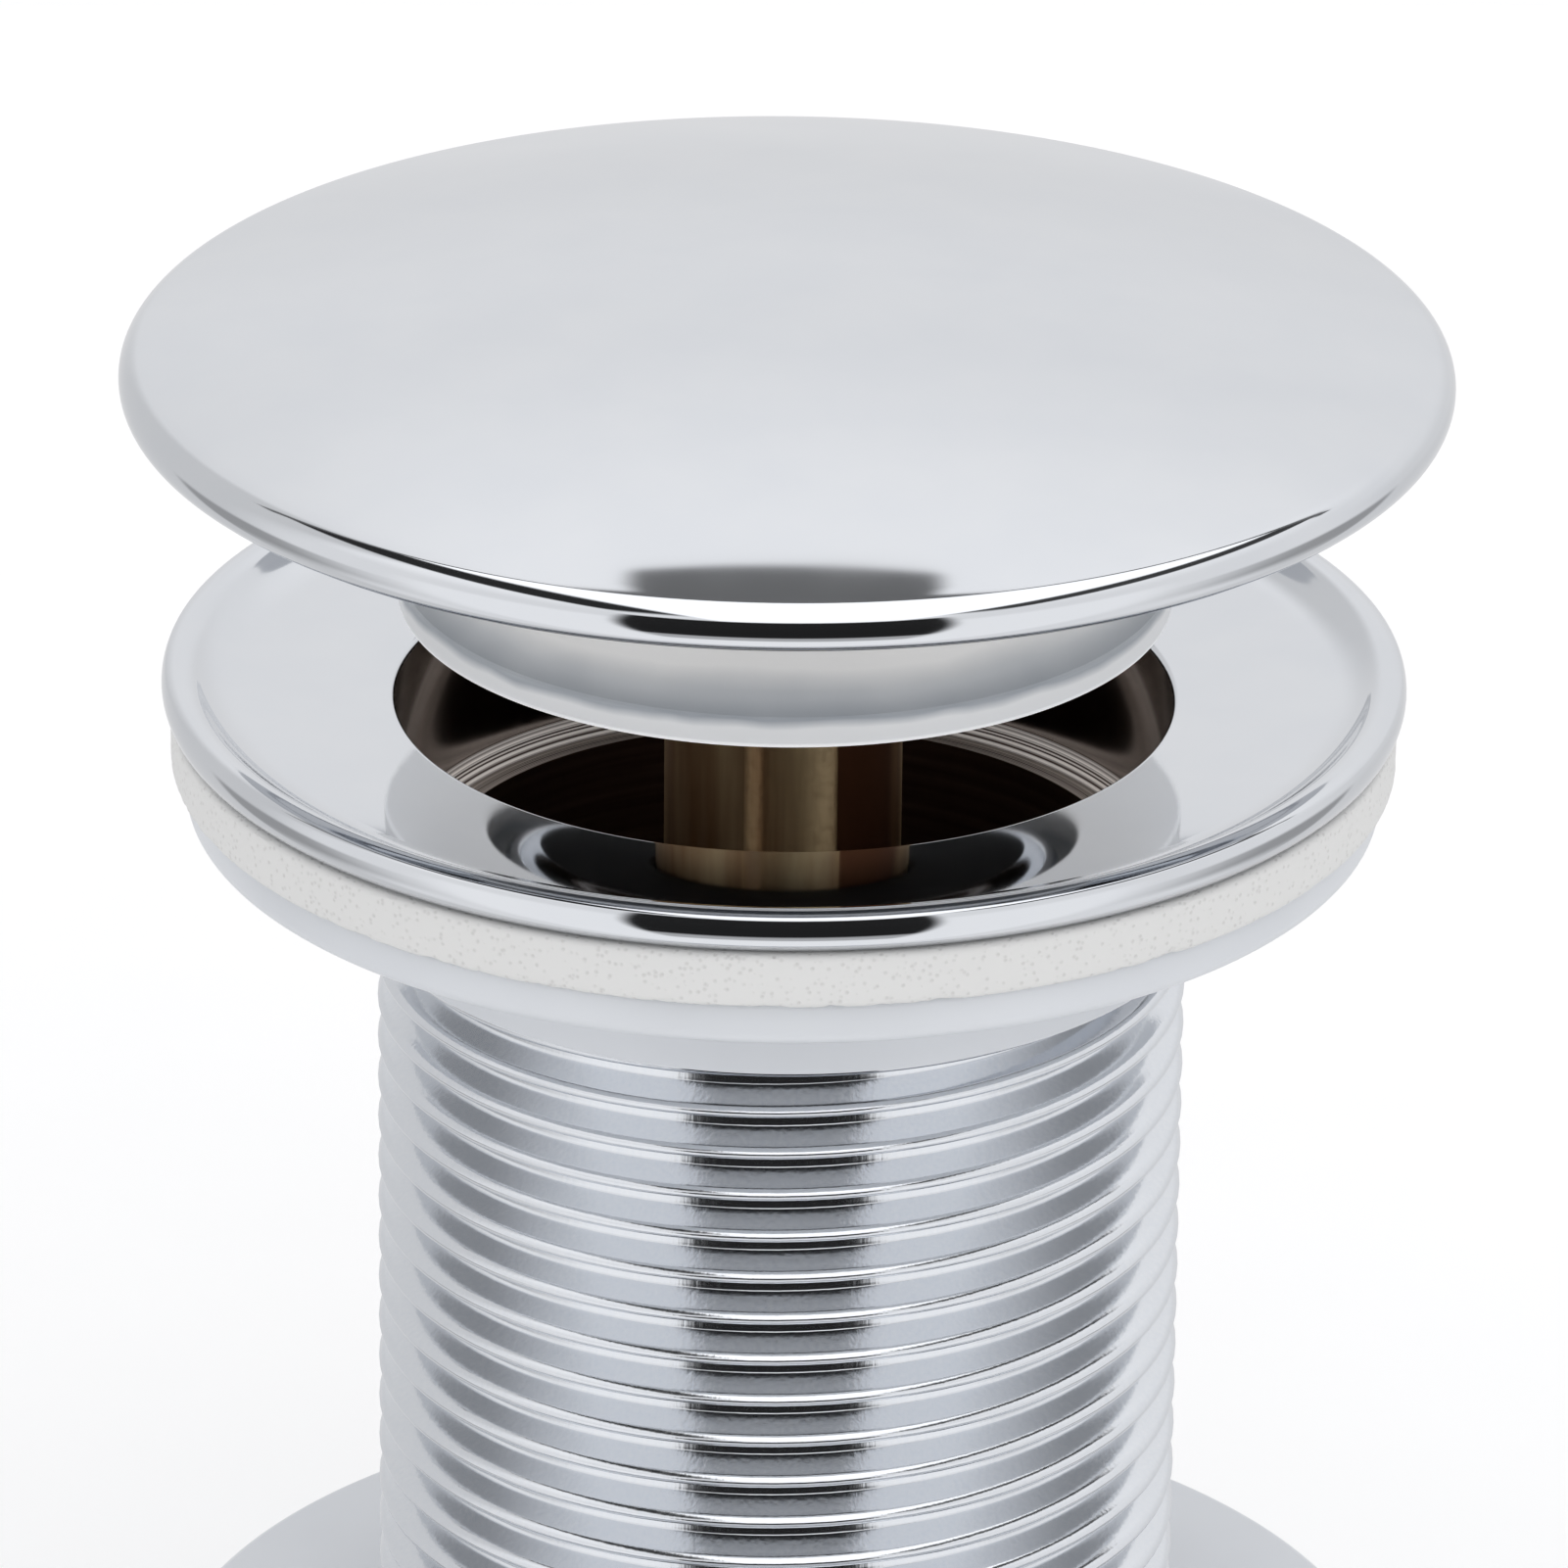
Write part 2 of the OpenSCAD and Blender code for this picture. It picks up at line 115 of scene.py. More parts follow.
def piece(name, bm, body, stands_for, slot, *materials):
    """Welds the mesh, turns its faces outwards, and puts it on its body in place of the CAD node."""
    bmesh.ops.remove_doubles(bm, verts=bm.verts, dist=WELD)
    bmesh.ops.recalc_face_normals(bm, faces=bm.faces)
    for face in bm.faces:
        face.smooth = True
    for edge in bm.edges:
        edge.smooth = len(edge.link_faces) == 2 and edge.calc_face_angle(0) < CREASE
    mesh = bpy.data.meshes.new(name)
    bm.to_mesh(mesh)
    bm.free()
    for made in materials:
        mesh.materials.append(made)
    obj = bpy.data.objects.new(name, mesh)
    bpy.context.scene.collection.objects.link(obj)
    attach(obj, body)
    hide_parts(stands_for)
    return obj


# The outside, from the throat's lip over a shallow cone, a cove and a bead to the rim, the foam's seat and the neck
body_mesh = bmesh.new()
turned(body_mesh, (
    arc((THROAT_R + 0.35, THROAT_TOP), 0.35, 180, 92.5, 6)
    + arc((27.342, 84.770), 3.854, -87.5, -46.2, 14)
    + arc((30.909, 81.05), 1.3, 133.8, 63, 10)
    + arc((31.345, 81.905), 0.34, 63, 26.7, 6)[1:]
    + arc((30.38, 81.42), 1.42, 26.7, -90, 20)[1:]
    + [(TUBE_R + 0.4, FLANGE_BOTTOM)]
    + arc((TUBE_R + 0.4, FLANGE_BOTTOM - 0.4), 0.4, 90, 180, 4)
    + [(TUBE_R, NECK_BOTTOM + 0.15), (TUBE_R - 0.15, NECK_BOTTOM), (TUBE_CORE_R, NECK_BOTTOM)]
    + [(TUBE_CORE_R, 0), (TAIL_BORE_R, 0)]
), closed=False)

# The inside, from the tail up: the bore, the ledge and the throat's wall
turned(body_mesh, [
    (TAIL_BORE_R, 0), (BORE_R, 0.5), (BORE_R, 27.18), (WEB_BORE_R, 27.58), (WEB_BORE_R, LEDGE_Z),
], closed=False, material_index=TARNISHED)
turned(body_mesh, [(WEB_BORE_R, LEDGE_Z), (THROAT_R - 1, LEDGE_Z), (THROAT_R, LEDGE_CHAMFER_Z)],
       closed=False, material_index=BRIGHT_SEAT)
turned(body_mesh, [(THROAT_R, LEDGE_CHAMFER_Z), (THROAT_R, THROAT_TOP)], closed=False, material_index=THIN_PLATED)

# Hub and spokes of the web, cast with the tube
STUD_HOLE_R = 4
HUB_R = 7.5
HUB_BOTTOM = 27.98
HUB_TOP = 36.98
HUB_EDGE = 0.3
SPOKE_MID_R = 12.4
SPOKE_LENGTH = 12
SPOKE_WIDTH = 4.5
SPOKE_HEIGHT = 7
turned(body_mesh, [
    (STUD_HOLE_R, HUB_BOTTOM), (HUB_R - HUB_EDGE, HUB_BOTTOM), (HUB_R, HUB_BOTTOM + HUB_EDGE),
    (HUB_R, HUB_TOP - HUB_EDGE), (HUB_R - HUB_EDGE, HUB_TOP), (STUD_HOLE_R, HUB_TOP),
], steps=64, material_index=TARNISHED)
for angle in (90, 210, 330):
    spoke = bmesh.ops.create_cube(body_mesh, size=1, matrix=(
        Matrix.Rotation(math.radians(angle), 4, "Z")
        @ Matrix.Translation((SPOKE_MID_R * MM, 0, (HUB_BOTTOM + HUB_TOP) / 2 * MM))
        @ Matrix.Diagonal((SPOKE_LENGTH * MM, SPOKE_WIDTH * MM, SPOKE_HEIGHT * MM, 1))))
    for face in {f for v in spoke["verts"] for f in v.link_faces}:
        face.material_index = TARNISHED

# One pitch of the thread, from root to root: flanks at about 27.5 degrees that run round into a narrow crest,
# the upper one a little hollow and rounded at its root
PITCH = 2.309
THREAD_DEPTH = 1.45
ROOT_R = TUBE_R - THREAD_DEPTH
thread_outline = (
    [(ROOT_R, -PITCH / 2), (ROOT_R, -0.903), (ROOT_R + 0.08, -0.866), (TUBE_R - 0.359, -0.395)]
    + arc((TUBE_R - 0.5105, 0.0866), 0.5, -65, -12.5, 6)
    + arc((TUBE_R - 0.12, 0), 0.1, -12.5, 28, 4)[1:]
    + arc((TUBE_R - 0.694, -0.305), 0.75, 28, 63.5, 7)[1:]
    + arc((TUBE_R + 5.218, 11.553), 12.5, 243.5, 238.5, 5)[1:]
    + arc((ROOT_R + 0.287, 1.139), 0.287, 238.5, 180, 4)[1:]
    + [(ROOT_R, PITCH / 2)]
)

# The helix: one turn swept, doubled five times to 32 turns, and cut off level at both ends
THREAD_STEPS = 90
THREAD_DOUBLINGS = 5
CREST_PHASE = -0.47
THREAD_BOTTOM = 0.03
THREAD_TOP = 68.75
thread_mesh = bmesh.new()
rows = [thread_mesh.verts.new((0, -r * MM, (z + CREST_PHASE - PITCH) * MM)) for r, z in thread_outline]
line = [thread_mesh.edges.new(pair) for pair in zip(rows, rows[1:])]
bmesh.ops.spin(thread_mesh, geom=rows + line, cent=(0, 0, 0), axis=(0, 0, 1),
               dvec=(0, 0, PITCH * MM / THREAD_STEPS), angle=math.tau, steps=THREAD_STEPS)
for doubling in range(THREAD_DOUBLINGS):
    more = bmesh.ops.duplicate(
        thread_mesh, geom=thread_mesh.verts[:] + thread_mesh.edges[:] + thread_mesh.faces[:])
    bmesh.ops.translate(thread_mesh, vec=(0, 0, PITCH * MM * 2 ** doubling),
                        verts=[g for g in more["geom"] if isinstance(g, bmesh.types.BMVert)])
bmesh.ops.remove_doubles(thread_mesh, verts=thread_mesh.verts, dist=WELD)
for height, way in ((THREAD_BOTTOM, -1), (THREAD_TOP, 1)):
    bmesh.ops.bisect_plane(thread_mesh, geom=thread_mesh.verts[:] + thread_mesh.edges[:] + thread_mesh.faces[:],
                           plane_co=(0, 0, height * MM), plane_no=(0, 0, way), clear_outer=True)

# Crests kept a hair inside the tube's radius, with a lead chamfer at the tail, and both ends closed inwards
CREST_GAP = 0.02
LEAD_CHAMFER = 1
THREAD_END_R = 19.1
for vert in thread_mesh.verts:
    radius = vert.co.xy.length
    most = min(TUBE_R - CREST_GAP, TUBE_R - LEAD_CHAMFER + vert.co.z / MM) * MM
    if radius > most:
        vert.co.xy *= most / radius
rims = bmesh.ops.extrude_edge_only(thread_mesh, edges=[e for e in thread_mesh.edges if e.is_boundary])
for part in rims["geom"]:
    if isinstance(part, bmesh.types.BMVert):
        part.co.xy *= THREAD_END_R * MM / part.co.xy.length
bmesh.ops.bridge_loops(thread_mesh, edges=[e for e in thread_mesh.edges if e.is_boundary])
for face in thread_mesh.faces:
    face.material_index = CUT_THREAD
thread_part = bpy.data.meshes.new("thread")
thread_mesh.to_mesh(thread_part)
thread_mesh.free()
body_mesh.from_mesh(thread_part)
bpy.data.meshes.remove(thread_part)

# Bright chrome plating: a mirror with a cool cast; polishing leaves faint clouds in its gloss.
chrome, tree, shader = material("chrome_plate", Metallic=1.0)
place = add(tree, "ShaderNodeTexCoord")
clouds = add(tree, "ShaderNodeTexNoise", {"Scale": 1 / (6 * MM), "Detail": 3.0}, {"Vector": place.outputs["Object"]})
gloss = add(tree, "ShaderNodeMapRange", {"To Min": 0.03, "To Max": 0.075}, {"Value": clouds.outputs["Fac"]})
tint = add(tree, "ShaderNodeMix", {"A": srgb("#D0D3D8"), "B": srgb("#D8DADD")},
           {"Factor": clouds.outputs["Fac"]}, data_type="RGBA")
tree.links.new(gloss.outputs["Result"], shader.inputs["Roughness"])
tree.links.new(tint.outputs["Result"], shader.inputs["Base Color"])

# Dark brass under thin plating: brown black, streaked round the throat by the turning tool.
throat_brass, tree, shader = material("tarnished_brass", Metallic=1.0)
place = add(tree, "ShaderNodeTexCoord")
rings = add(tree, "ShaderNodeMapping", {"Scale": (60, 60, 1 / (0.5 * MM))}, {"Vector": place.outputs["Object"]})
streaks = add(tree, "ShaderNodeTexNoise", {"Scale": 1.0, "Detail": 4.0}, {"Vector": rings.outputs["Vector"]})
tint = add(tree, "ShaderNodeMix", {"A": srgb("#584840"), "B": srgb("#8E7666")},
           {"Factor": streaks.outputs["Fac"]}, data_type="RGBA")
gloss = add(tree, "ShaderNodeMapRange", {"To Min": 0.3, "To Max": 0.5}, {"Value": streaks.outputs["Fac"]})
tree.links.new(tint.outputs["Result"], shader.inputs["Base Color"])
tree.links.new(gloss.outputs["Result"], shader.inputs["Roughness"])

# The ledge that the seal closes on: turned bright, with fine tool lines round it.
seat_brass, tree, shader = material("bright_turned_seat", Metallic=1.0)
place = add(tree, "ShaderNodeTexCoord")
flat = add(tree, "ShaderNodeVectorMath", {1: (1, 1, 0)}, {0: place.outputs["Object"]}, operation="MULTIPLY")
reach = add(tree, "ShaderNodeVectorMath", (), {0: flat.outputs["Vector"]}, operation="LENGTH")
lines = add(tree, "ShaderNodeTexNoise", {"Scale": 1 / (0.12 * MM), "Detail": 3.0}, {"W": reach.outputs["Value"]},
            noise_dimensions="1D")
sharp = add(tree, "ShaderNodeMapRange", {"From Min": 0.36, "From Max": 0.64}, {"Value": lines.outputs["Fac"]})
tint = add(tree, "ShaderNodeMix", {"A": srgb("#4A3D37"), "B": srgb("#FFF8F2")},
           {"Factor": sharp.outputs["Result"]}, data_type="RGBA")
gloss = add(tree, "ShaderNodeMapRange", {"To Min": 0.3, "To Max": 0.5}, {"Value": lines.outputs["Fac"]})
tree.links.new(tint.outputs["Result"], shader.inputs["Base Color"])
tree.links.new(gloss.outputs["Result"], shader.inputs["Roughness"])

# The throat's wall above the ledge: plating that thins towards the bottom, duller than the flange.
throat_plate, tree, shader = material("thin_chrome_plate", Metallic=1.0)
place = add(tree, "ShaderNodeTexCoord")
clouds = add(tree, "ShaderNodeTexNoise", {"Scale": 1 / (2.5 * MM), "Detail": 3.0}, {"Vector": place.outputs["Object"]})
tint = add(tree, "ShaderNodeMix", {"A": srgb("#9C948F"), "B": srgb("#B4ADA8")},
           {"Factor": clouds.outputs["Fac"]}, data_type="RGBA")
gloss = add(tree, "ShaderNodeMapRange", {"To Min": 0.08, "To Max": 0.16}, {"Value": clouds.outputs["Fac"]})
tree.links.new(tint.outputs["Result"], shader.inputs["Base Color"])
tree.links.new(gloss.outputs["Result"], shader.inputs["Roughness"])

# Plating on the cut thread: not polished, so a softer mirror, with chatter marks of the die across each flank.
# The marks are drawn at a quarter of a millimetre, coarser than they are.
thread_plate, tree, shader = material("thread_chrome_plate", Metallic=1.0)
place = add(tree, "ShaderNodeTexCoord")
across_flank = add(tree, "ShaderNodeMapping", {"Scale": (1 / (0.25 * MM), 1 / (0.25 * MM), 1 / (2.5 * MM))},
                   {"Vector": place.outputs["Object"]})
chatter = add(tree, "ShaderNodeTexNoise", {"Scale": 1.0, "Detail": 2.0}, {"Vector": across_flank.outputs["Vector"]})
marks = add(tree, "ShaderNodeBump", {"Strength": 0.25, "Distance": 0.02 * MM}, {"Height": chatter.outputs["Fac"]})
gloss = add(tree, "ShaderNodeMapRange", {"To Min": 0.08, "To Max": 0.18}, {"Value": chatter.outputs["Fac"]})
tint = add(tree, "ShaderNodeMix", {"A": srgb("#D5D9DF"), "B": srgb("#DFE1E4")},
           {"Factor": chatter.outputs["Fac"]}, data_type="RGBA")
tree.links.new(tint.outputs["Result"], shader.inputs["Base Color"])
tree.links.new(gloss.outputs["Result"], shader.inputs["Roughness"])
tree.links.new(marks.outputs["Normal"], shader.inputs["Normal"])

piece("waste_tube", body_mesh, "waste_body", "body", "chrome",
      chrome, throat_brass, seat_brass, throat_plate, thread_plate)

# Foam washer: soft white foam, punched from sheet, so the cut edge shows open cells and small nicks.
# It lies loose on the tube, squeezed between the flange and the clear washer.
FOAM_R = 31.35
FOAM_TOP = FLANGE_BOTTOM
FOAM_BOTTOM = 77.15
FOAM_EDGE_R = 0.35
HOLE_R = 21.1
NICKED_R = 29
NICK_DEPTH = 0.0022
NICK_RISE = 0.12
foam_mesh = bmesh.new()
turned(foam_mesh, (
    [(HOLE_R, FOAM_BOTTOM), (26, FOAM_BOTTOM), (29.5, FOAM_BOTTOM)]
    + arc((FOAM_R - FOAM_EDGE_R, FOAM_BOTTOM + FOAM_EDGE_R), FOAM_EDGE_R, -90, 0, 3)
    + [(FOAM_R, FOAM_BOTTOM + f) for f in (0.8, 1.25, 1.7, 2.1)]
    + arc((FOAM_R - FOAM_EDGE_R, FOAM_TOP - FOAM_EDGE_R), FOAM_EDGE_R, 0, 90, 3)
    + [(26, FOAM_TOP), (HOLE_R, FOAM_TOP)]
), steps=480)

# Nicks in the cut edge: a share of the radius taken off, and the lower edge lifted
for vert in foam_mesh.verts:
    if vert.co.xy.length > NICKED_R * MM:
        nick = noise.noise(vert.co * (1 / (1.1 * MM))) + 0.6 * noise.noise(vert.co * (1 / (0.45 * MM)))
        vert.co.xy *= 1 - NICK_DEPTH * max(0, nick)
        if vert.co.z < (FOAM_BOTTOM + 0.4) * MM:
            vert.co.z += NICK_RISE * MM * max(0, nick)

# White foam: matt, with open cells about 0.4 mm apart whose pinholes are dented in and carry painted shade, as faint
# grey specks.
foam, tree, shader = material("white_foam", Roughness=0.95)
place = add(tree, "ShaderNodeTexCoord")
cells = add(tree, "ShaderNodeTexVoronoi", {"Scale": 1 / (0.38 * MM)}, {"Vector": place.outputs["Object"]})
pinholes_and_shade = add(tree, "ShaderNodeMapRange", {"From Min": 0.08, "From Max": 0.34},
            {"Value": cells.outputs["Distance"]})
tint = add(tree, "ShaderNodeMix", {"A": srgb("#C9C8C7"), "B": srgb("#D5D5D4")},
           {"Factor": pinholes_and_shade.outputs["Result"]}, data_type="RGBA")
pits = add(tree, "ShaderNodeBump", {"Strength": 0.35, "Distance": 0.12 * MM}, {"Height": pinholes_and_shade.outputs["Result"]})
tree.links.new(tint.outputs["Result"], shader.inputs["Base Color"])
tree.links.new(pits.outputs["Normal"], shader.inputs["Normal"])

foam_ring = piece("foam_ring", foam_mesh, "waste_body", "foam_washer", "foam", foam)

# Clear washer: a moulded ring of milky polythene under the foam, with rounded edges,
# and a thin collar round the neck that centres it in the basin's hole.
CLEAR_R = 30.6
CLEAR_BOTTOM = 74.65
COLLAR_R = 21.7
COLLAR_BOTTOM = 69.05
clear_mesh = bmesh.new()
turned(clear_mesh, (
    [(HOLE_R, COLLAR_BOTTOM)]
    + arc((COLLAR_R - 0.15, COLLAR_BOTTOM + 0.15), 0.15, -90, 0, 3)
    + arc((COLLAR_R + 0.3, CLEAR_BOTTOM - 0.3), 0.3, 180, 90, 4)
    + arc((CLEAR_R - 0.9, CLEAR_BOTTOM + 0.9), 0.9, -90, 0, 8)
    + arc((CLEAR_R - 0.4, FOAM_BOTTOM - 0.4), 0.4, 0, 90, 5)
    + [(HOLE_R, FOAM_BOTTOM)]
))

# Milky polythene: lets light through without showing what is behind it, with a dull shine.
polythene, tree, shader = material("milky_polythene", Roughness=0.32, IOR=1.5, Transmission_Weight=0.08)
place = add(tree, "ShaderNodeTexCoord")
haze = add(tree, "ShaderNodeTexNoise", {"Scale": 1 / (9 * MM), "Detail": 2.0}, {"Vector": place.outputs["Object"]})
tint = add(tree, "ShaderNodeMix", {"A": srgb("#D2D5DA"), "B": srgb("#DBDEE2")},
           {"Factor": haze.outputs["Fac"]}, data_type="RGBA")
tree.links.new(tint.outputs["Result"], shader.inputs["Base Color"])

piece("clear_ring", clear_mesh, "waste_body", "clear_washer", "clear_washer", polythene)

# Lower washer: the same milky polythene, a wider flat ring that goes under the basin.
# It slides loose on the tube until the backnut presses it against the basin's underside.
LOWER_R = 32.5
LOWER_BOTTOM = 21.0
LOWER_TOP = 23.5
LOWER_EDGE_R = 0.6
lower_mesh = bmesh.new()
turned(lower_mesh, (
    [(HOLE_R, LOWER_BOTTOM)]
    + arc((LOWER_R - LOWER_EDGE_R, LOWER_BOTTOM + LOWER_EDGE_R), LOWER_EDGE_R, -90, 0, 6)
    + arc((LOWER_R - LOWER_EDGE_R, LOWER_TOP - LOWER_EDGE_R), LOWER_EDGE_R, 0, 90, 6)
    + [(HOLE_R + 0.2, LOWER_TOP), (HOLE_R, LOWER_TOP - 0.2)]
))
piece("lower_ring", lower_mesh, "clamp_washer", "lower_washer", "clear_washer", polythene)

# Backnut: a cast brass hexagon under a round flange, turned and chromed, screwed up below the lower washer.
# Six flats take the spanner, and the lathe has chamfered the hexagon's lower corners and both ends of the bore.
NUT_BOTTOM = 11.0
NUT_TOP = 21.0
FLAT_R = 25.0
FLANGE_R = 29.47
NUT_BORE_R = 20.9
NUT_BORE_CHAMFER = 0.8
NUT_FLANGE_Z = 18.5
NUT_EDGE_R = 0.6
CORNER_R = FLAT_R / math.cos(math.radians(30))
CHAMFER_R = FLAT_R - 0.2
CHAMFER_SLOPE = math.tan(math.radians(30))
nut_mesh = bmesh.new()
turned(nut_mesh, (
    [(NUT_BORE_R, NUT_BOTTOM + NUT_BORE_CHAMFER), (NUT_BORE_R + NUT_BORE_CHAMFER, NUT_BOTTOM)]
    + [(CHAMFER_R, NUT_BOTTOM), (CORNER_R, NUT_BOTTOM + 2), (CORNER_R, NUT_FLANGE_Z)]
    + arc((FLANGE_R - NUT_EDGE_R, NUT_FLANGE_Z + NUT_EDGE_R), NUT_EDGE_R, -90, 0, 5)
    + arc((FLANGE_R - NUT_EDGE_R, NUT_TOP - NUT_EDGE_R), NUT_EDGE_R, 0, 90, 5)
    + [(NUT_BORE_R + NUT_BORE_CHAMFER, NUT_TOP), (NUT_BORE_R, NUT_TOP - NUT_BORE_CHAMFER)]
))

# The round wall drawn in to six flats, with its lower edge where the flats meet the turned chamfer
for vert in nut_mesh.verts:
    if abs(vert.co.xy.length - CORNER_R * MM) < 0.001 * MM:
        off_flat = (math.degrees(math.atan2(vert.co.y, vert.co.x)) + 360) % 60 - 30
        wall = FLAT_R / math.cos(math.radians(off_flat))
        vert.co.xy *= wall / CORNER_R
        if vert.co.z < (NUT_FLANGE_Z - 1) * MM:
            vert.co.z = (NUT_BOTTOM + (wall - CHAMFER_R) * CHAMFER_SLOPE) * MM
piece("clamp_nut", nut_mesh, "clamp_nut", "backnut", "chrome", chrome)

# Cap: a spun brass dome with a full round rim, polished and chromed, with a tapped boss underneath.
# The boss screws onto the barrel's stub, and so clamps the seal and its plate.
CAP_TOP = 103.53
RIM_MID_R = 32.5
RIM_MID_Z = 98.18
RIM_EDGE_R = 1.3
DOME_R = 133.7
DOME_Z = CAP_TOP - DOME_R
DOME_EDGE = math.degrees(math.asin(RIM_MID_R / (DOME_R - RIM_EDGE_R)))
HOLLOW_R = DOME_R - 1.8
BOSS_R = 7.5
BOSS_BOTTOM = 94.48
BOSS_EDGE = 0.2
STUB_HOLE_R = 4
STUB_HOLE_TOP = 101.33
cap_mesh = bmesh.new()
turned(cap_mesh, (
    [(0, CAP_TOP)]
    + arc((0, DOME_Z), DOME_R, 89.4, 90 - DOME_EDGE, 40)
    + arc((RIM_MID_R, RIM_MID_Z), RIM_EDGE_R, 90 - DOME_EDGE, -90, 28)[1:]
    + [(30.6, RIM_MID_Z - RIM_EDGE_R), (30.4, RIM_MID_Z - RIM_EDGE_R + 0.2)]
    + arc((0, DOME_Z), HOLLOW_R, 90 - 13.3, 90 - 3.4, 20)
    + [(BOSS_R, 101), (BOSS_R, BOSS_BOTTOM + BOSS_EDGE), (BOSS_R - BOSS_EDGE, BOSS_BOTTOM)]
    + [(STUB_HOLE_R, BOSS_BOTTOM), (STUB_HOLE_R, STUB_HOLE_TOP), (0, STUB_HOLE_TOP)]
), steps=256, closed=False)
piece("domed_cap", cap_mesh, "stopper", "cap", "chrome", chrome)

# Seal: a moulded bell of clear silicone, clamped under the cap's boss, with a straight waist and a flared lip.
# Pressed down with the cap, its flat lip closes the throat at the ledge.
LIP_R = 19.75
LIP_Z = 86.0
WAIST_R = 18.0
WAIST_EDGE_R = 1.5
SEAL_CEILING = 92.48
SEAL_HOLLOW_R = 14.4
seal_mesh = bmesh.new()
turned(seal_mesh, (
    [(STUB_HOLE_R, SEAL_CEILING), (SEAL_HOLLOW_R, SEAL_CEILING)]
    + arc((SEAL_HOLLOW_R + 0.4, LIP_Z + 0.4), 0.4, 180, 270, 4)
    + arc((LIP_R - 0.25, LIP_Z + 0.25), 0.25, -90, 0, 4)
    + arc((LIP_R - 0.2, 87.45), 0.2, 0, 60, 3)
    + arc((21, 90.33), 3, 243, 180, 12)
    + arc((WAIST_R - WAIST_EDGE_R, BOSS_BOTTOM - WAIST_EDGE_R), WAIST_EDGE_R, 0, 90, 8)
    + [(STUB_HOLE_R, BOSS_BOTTOM)]
))

# Clear silicone: cloudy and pale, with a soft wet shine. Its colour is painted light and shade by height: greyer and
# faintly blue just above the lip, greyer again towards the cap, lightest at the waist.
silicone, tree, shader = material("clear_silicone", Roughness=0.3, IOR=1.41, Transmission_Weight=0.12)
place = add(tree, "ShaderNodeTexCoord")
height = add(tree, "ShaderNodeSeparateXYZ", (), {"Vector": place.outputs["Object"]})
haze = add(tree, "ShaderNodeTexNoise", {"Scale": 1 / (7 * MM), "Detail": 2.0}, {"Vector": place.outputs["Object"]})
uneven = add(tree, "ShaderNodeMath", {1: 1.2 * MM}, {0: haze.outputs["Fac"], 2: height.outputs["Z"]},
             operation="MULTIPLY_ADD")
level = add(tree, "ShaderNodeMapRange", {"From Min": (LIP_Z + 0.5) * MM, "From Max": (LIP_Z + 8.5) * MM},
            {"Value": uneven.outputs["Value"]})
# Painted shade by height: a grey blue band above the lip and a grey top under the cap
painted_shade_by_height = add(tree, "ShaderNodeValToRGB", (), {"Fac": level.outputs["Result"]})
stops = painted_shade_by_height.color_ramp.elements
stops[0].position, stops[0].color = 0.14, srgb("#F3F4F5")
stops[1].position, stops[1].color = 0.95, srgb("#CBCBCB")
for at, colour in ((0.2, "#A8AEB5"), (0.32, "#CFD2D5"), (0.45, "#FDFCFA"), (0.7, "#F4F3F1")):
    stop = stops.new(at)
    stop.color = srgb(colour)
tree.links.new(painted_shade_by_height.outputs["Color"], shader.inputs["Base Color"])

# Light that enters the waist runs down inside the silicone and comes out at the flat lip; this glow stands for it
glow = add(tree, "ShaderNodeMapRange",
           {"From Min": (LIP_Z + 0.3) * MM, "From Max": (LIP_Z + 0.05) * MM, "To Max": 0.45},
           {"Value": height.outputs["Z"]})
tree.links.new(glow.outputs["Result"], shader.inputs["Emission Strength"])
piece("bell_seal", seal_mesh, "stopper", "cap_seal", "silicone", silicone)

# Seal plate: a pressed brass dish with a rounded edge, clamped between boss and barrel to hold the lip out.
# Its edge is chromed, and its flat underside is painted near black, a painted reflection of the dark throat below.
DISH_R = 13.7
DISH_EDGE_R = 1.9
DISH_Z = 86.3
DISH_TOP = 92.46
SOCKET_R = 6.2
SOCKET_TOP = 90.99
SOCKET_EDGE = 0.3
dish_mesh = bmesh.new()
turned(dish_mesh, (
    [(STUB_HOLE_R, DISH_TOP), (DISH_R, DISH_TOP)]
    + arc((DISH_R - DISH_EDGE_R, DISH_Z + DISH_EDGE_R), DISH_EDGE_R, 0, -90, 14)
), steps=128, closed=False)
turned(dish_mesh, [
    (DISH_R - DISH_EDGE_R, DISH_Z), (SOCKET_R + SOCKET_EDGE, DISH_Z), (SOCKET_R, DISH_Z + SOCKET_EDGE),
    (SOCKET_R, SOCKET_TOP), (STUB_HOLE_R, SOCKET_TOP), (STUB_HOLE_R, DISH_TOP),
], steps=128, closed=False, material_index=1)

# Painted reflection of the dark throat: matt near black, a shade greyer in random patches.
dark_reflection_paint, tree, shader = material("painted_dark_reflection", IOR=1.5)
place = add(tree, "ShaderNodeTexCoord")
mottle = add(tree, "ShaderNodeTexNoise", {"Scale": 1 / (1.5 * MM), "Detail": 2.0}, {"Vector": place.outputs["Object"]})
tint = add(tree, "ShaderNodeMix", {"A": srgb("#141416"), "B": srgb("#222224")},
           {"Factor": mottle.outputs["Fac"]}, data_type="RGBA")
gloss = add(tree, "ShaderNodeMapRange", {"To Min": 0.7, "To Max": 0.85}, {"Value": mottle.outputs["Fac"]})
tree.links.new(tint.outputs["Result"], shader.inputs["Base Color"])
tree.links.new(gloss.outputs["Result"], shader.inputs["Roughness"])
piece("seal_dish", dish_mesh, "stopper", "seal_plate", "chrome", chrome, dark_reflection_paint)

